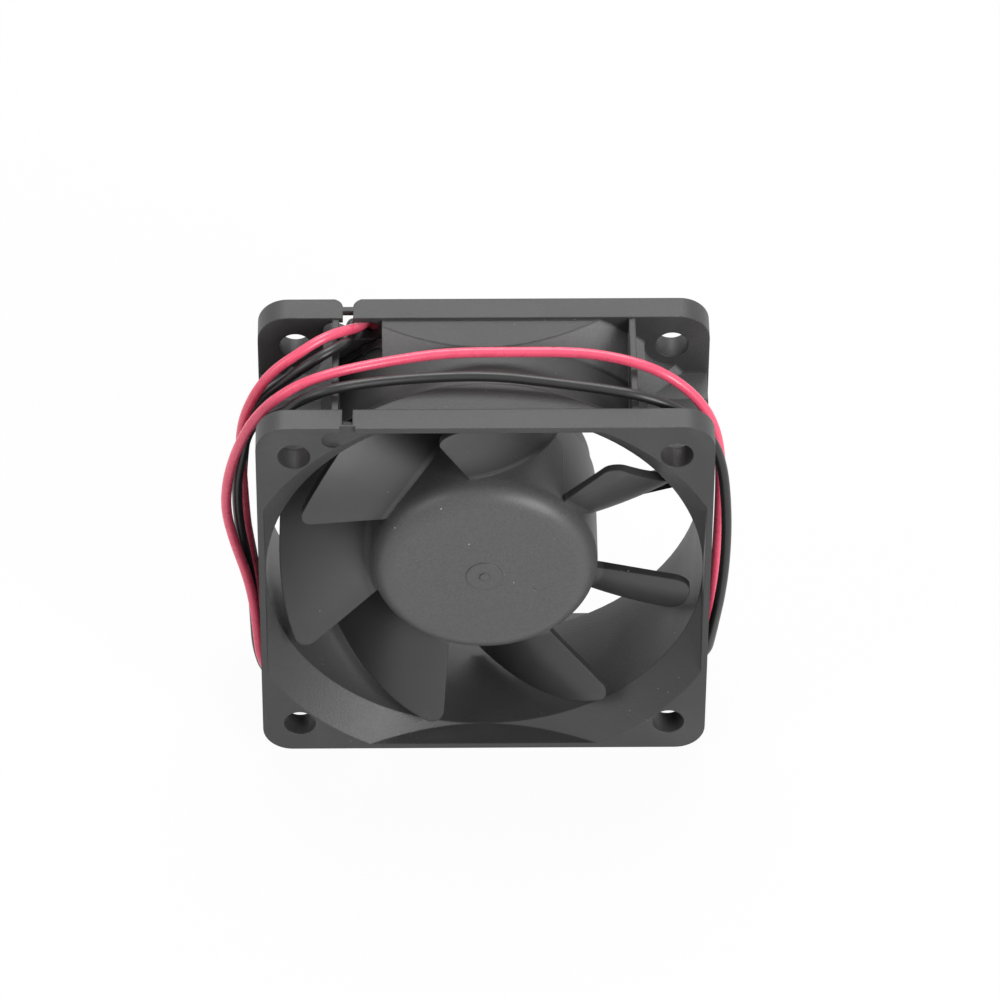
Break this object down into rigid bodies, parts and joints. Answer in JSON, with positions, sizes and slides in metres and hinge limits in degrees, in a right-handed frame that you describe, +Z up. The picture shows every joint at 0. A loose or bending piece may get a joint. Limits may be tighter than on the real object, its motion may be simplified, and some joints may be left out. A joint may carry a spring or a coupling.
{
  "type": "axial cooling fan",
  "caption": "Square axial cooling fan: frame with screw holes at its corners, curved blades on a hub over a brushless motor, and flying leads with bare ends.",
  "frame": {"origin": "centre of the fan's lower edge plane, half way between its two faces; the flying leads are left out", "axes": "+Z up across the frame, +X to the right seen from the intake side, +Y along the air axis from the intake face to the rear face"},
  "size_m": [0.0682, 0.025, 0.062],
  "materials": {
    "black_plastic": "moulded glass-filled plastic, fine satin grain",
    "tube_brass": "turned",
    "board_green": "solder-masked laminate",
    "chip_black": "moulded epoxy",
    "capacitor_tan": "ceramic body",
    "resistor_black": "ceramic body with a dark film",
    "copper": "enamelled copper wire",
    "pin_tin": "tinned",
    "solder": "bright solder",
    "insulator_white": "moulded nylon",
    "lamination_steel": "stacked silicon steel",
    "yoke_steel": "zinc-plated pressing",
    "magnet": "rubber-bonded ferrite",
    "bearing_steel": "ground and polished",
    "shield_steel": "pressed sheet",
    "spring_steel": "spring steel",
    "bushing_brass": "turned",
    "washer_nylon": "nylon",
    "cap_rubber": "soft plug",
    "red_insulation": "smooth flexible insulation",
    "black_insulation": "smooth flexible insulation"
  },
  "bodies": {
    "housing": {"bearing_cap": "cap_rubber", "bearing_tube": "tube_brass", "black_lead": "black_insulation", "black_lead_end": "pin_tin", "black_lead_tail": "black_insulation", "board_resistors": "resistor_black", "circuit_board": "board_green", "coil_1": "copper", "coil_2": "copper", "coil_3": "copper", "coil_4": "copper", "coil_pins": "pin_tin", "driver_chip": "chip_black", "filter_capacitor": "capacitor_tan", "frame": "black_plastic", "front_bearing_balls": "bearing_steel", "front_bearing_outer_ring": "bearing_steel", "front_bearing_shields": "shield_steel", "hall_sensor": "chip_black", "lead_cores": "pin_tin", "lead_pads": "solder", "lower_insulator": "insulator_white", "rear_bearing_balls": "bearing_steel", "rear_bearing_outer_ring": "bearing_steel", "rear_bearing_shields": "shield_steel", "red_lead": "red_insulation", "red_lead_end": "pin_tin", "red_lead_tail": "red_insulation", "solder_joints": "solder", "stator_core": "lamination_steel", "upper_insulator": "insulator_white"},
    "rotor": {"front_bearing_inner_ring": "bearing_steel", "impeller": "black_plastic", "preload_spring": "spring_steel", "rear_bearing_inner_ring": "bearing_steel", "ring_magnet": "magnet", "rotor_yoke": "yoke_steel", "shaft": "bearing_steel", "shaft_bushing": "bushing_brass", "shaft_clip": "spring_steel", "thrust_washer": "washer_nylon"}
  },
  "joints": [
    {"name": "impeller_spin", "type": "hinge", "parent": "housing", "child": "rotor", "pos_m": [0, 0, 0.03], "axis": [0, 1, 0], "continuous": true}
  ]
}
